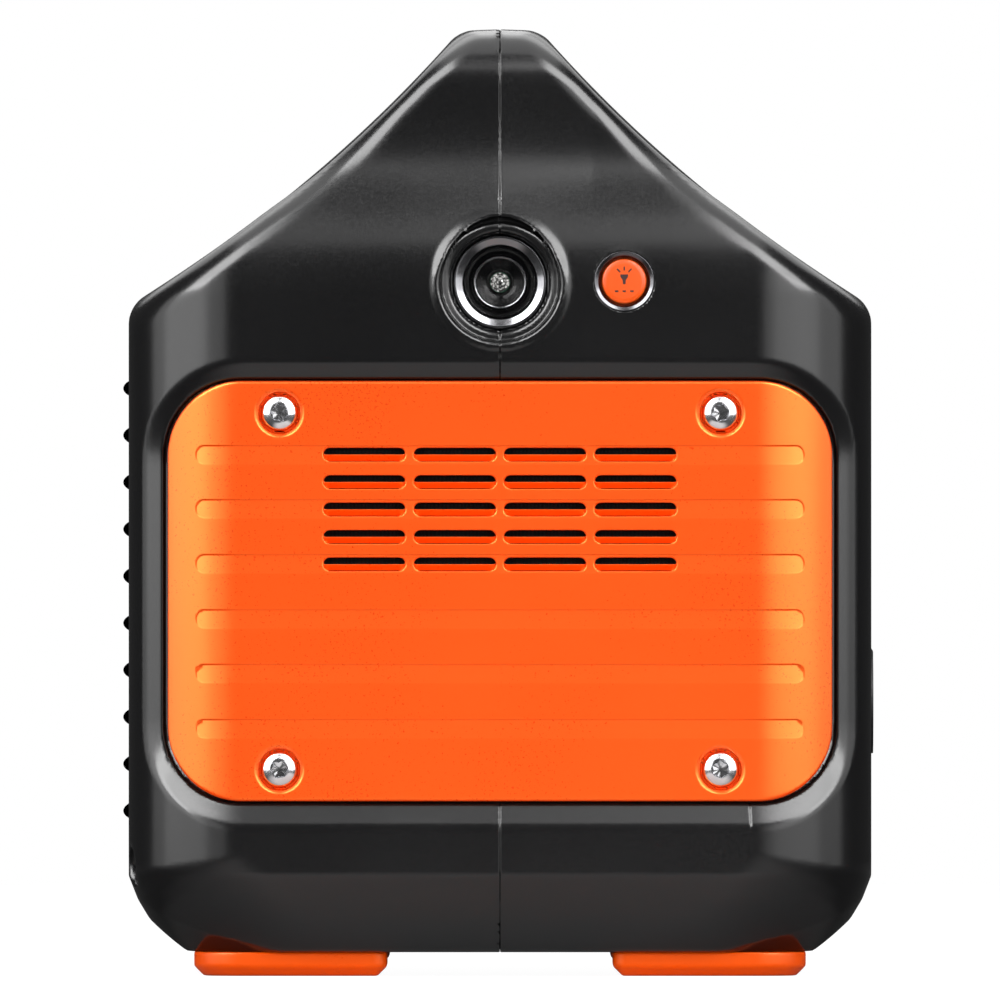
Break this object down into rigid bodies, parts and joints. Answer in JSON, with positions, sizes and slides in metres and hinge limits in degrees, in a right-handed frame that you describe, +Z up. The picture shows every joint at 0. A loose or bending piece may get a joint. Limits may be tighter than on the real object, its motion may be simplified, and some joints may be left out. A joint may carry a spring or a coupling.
{
  "type": "portable power station",
  "caption": "Portable battery power station: two-part casing with a moulded carry handle, end lamp with a push button, vented end plates, feet and a side panel of sockets.",
  "frame": {"origin": "centre of the footprint, at the underside of the feet", "axes": "+Z up; -Y is the lamp end, so +Y runs along the length to the far end; +X faces out of the control panel, -X out of the ribbed back wall"},
  "size_m": [0.193, 0.3011, 0.242],
  "materials": {
    "casing": "fine satin texture",
    "orange_plastic": "satin",
    "orange_feet": "satin",
    "orange_button": "satin",
    "chromed_screws": "polished",
    "steel_parts": "plain",
    "bright_ring": "polished",
    "clear_lens": "clear",
    "dark_reflector": "gloss black",
    "led": "clear over phosphor",
    "circuit_board": "solder mask",
    "alloy": "plain",
    "black_plastic": "matte",
    "panel_plastic": "fine texture",
    "outlet_plastic": "fine texture",
    "cover_plastic": "fine texture",
    "usb_tongue_plastic": "plain",
    "smoked_window": "smoked",
    "brass_contacts": "plain",
    "cells": "sleeved",
    "ferrite": "matte",
    "copper": "enamelled wire",
    "capacitor_sleeve": "sleeved",
    "mesh_fabric": "matte",
    "lead_insulation": "plain"
  },
  "bodies": {
    "casing": {"housing_front": "casing", "housing_rear": "casing", "end_plate_lamp_end": "orange_plastic", "end_plate_far_end": "orange_plastic", "plate_screws_lamp_end": "chromed_screws", "plate_screws_far_end": "chromed_screws", "case_screws": "steel_parts", "feet": "orange_feet", "foot_screws": "steel_parts", "lamp_bezel": "bright_ring", "lamp_lens": "clear_lens", "lamp_reflector": "dark_reflector", "lamp_led": "led", "lamp_board": "circuit_board", "lamp_heatsink": "alloy", "lamp_button_ring": "bright_ring", "lamp_switch": "black_plastic", "control_panel": "panel_plastic", "panel_screws": "steel_parts", "display_window": "smoked_window", "display_module": "black_plastic", "panel_switches": "black_plastic", "control_board": "circuit_board", "ac_outlet_body": "outlet_plastic", "ac_contacts": "brass_contacts", "car_socket_shell": "steel_parts", "car_socket_insulator": "black_plastic", "car_socket_contact": "brass_contacts", "cover_hinge_pin": "steel_parts", "dc_output_sockets": "black_plastic", "dc_output_pins": "brass_contacts", "dc_input_socket": "black_plastic", "dc_input_pin": "brass_contacts", "usb_shells": "steel_parts", "usb_tongues": "usb_tongue_plastic", "battery_cells": "cells", "cell_holder_outer": "black_plastic", "cell_holder_inner": "black_plastic", "cell_links": "steel_parts", "battery_cradle": "alloy", "battery_board": "circuit_board", "inverter_board": "circuit_board", "transformer_core": "ferrite", "transformer_winding": "copper", "capacitors": "capacitor_sleeve", "inverter_heatsink": "alloy", "choke_coil": "copper", "fan_frame": "black_plastic", "fan_screws": "steel_parts", "dust_mesh_lamp_end": "mesh_fabric", "dust_mesh_far_end": "mesh_fabric", "battery_leads": "lead_insulation"},
    "lamp_button": {"lamp_button": "orange_button"},
    "ac_button": {"ac_button": "orange_button"},
    "dc_button": {"dc_button": "orange_button"},
    "usb_button": {"usb_button": "orange_button"},
    "display_button": {"display_button": "orange_button"},
    "socket_cover": {"car_socket_cover": "cover_plastic"},
    "fan_rotor": {"fan_rotor": "black_plastic"}
  },
  "joints": [
    {"name": "lamp_button_press", "type": "slide", "parent": "casing", "child": "lamp_button", "axis": [0, 1, 0], "range_m": [0, 0.001], "stiffness_N_per_m": 900, "springref_m": -0.001},
    {"name": "ac_button_press", "type": "slide", "parent": "casing", "child": "ac_button", "axis": [-1, 0, 0], "range_m": [0, 0.001], "stiffness_N_per_m": 900, "springref_m": -0.001},
    {"name": "dc_button_press", "type": "slide", "parent": "casing", "child": "dc_button", "axis": [-1, 0, 0], "range_m": [0, 0.001], "stiffness_N_per_m": 900, "springref_m": -0.001},
    {"name": "usb_button_press", "type": "slide", "parent": "casing", "child": "usb_button", "axis": [-1, 0, 0], "range_m": [0, 0.001], "stiffness_N_per_m": 900, "springref_m": -0.001},
    {"name": "display_button_press", "type": "slide", "parent": "casing", "child": "display_button", "axis": [-1, 0, 0], "range_m": [0, 0.001], "stiffness_N_per_m": 900, "springref_m": -0.001},
    {"name": "socket_cover_hinge", "type": "hinge", "parent": "casing", "child": "socket_cover", "pos_m": [0.09515, -0.002, 0.0822], "axis": [0, -1, 0], "range_deg": [0, 115]},
    {"name": "fan_spin", "type": "hinge", "parent": "casing", "child": "fan_rotor", "pos_m": [0, -0.136, 0.1192], "axis": [0, 1, 0], "continuous": true}
  ]
}
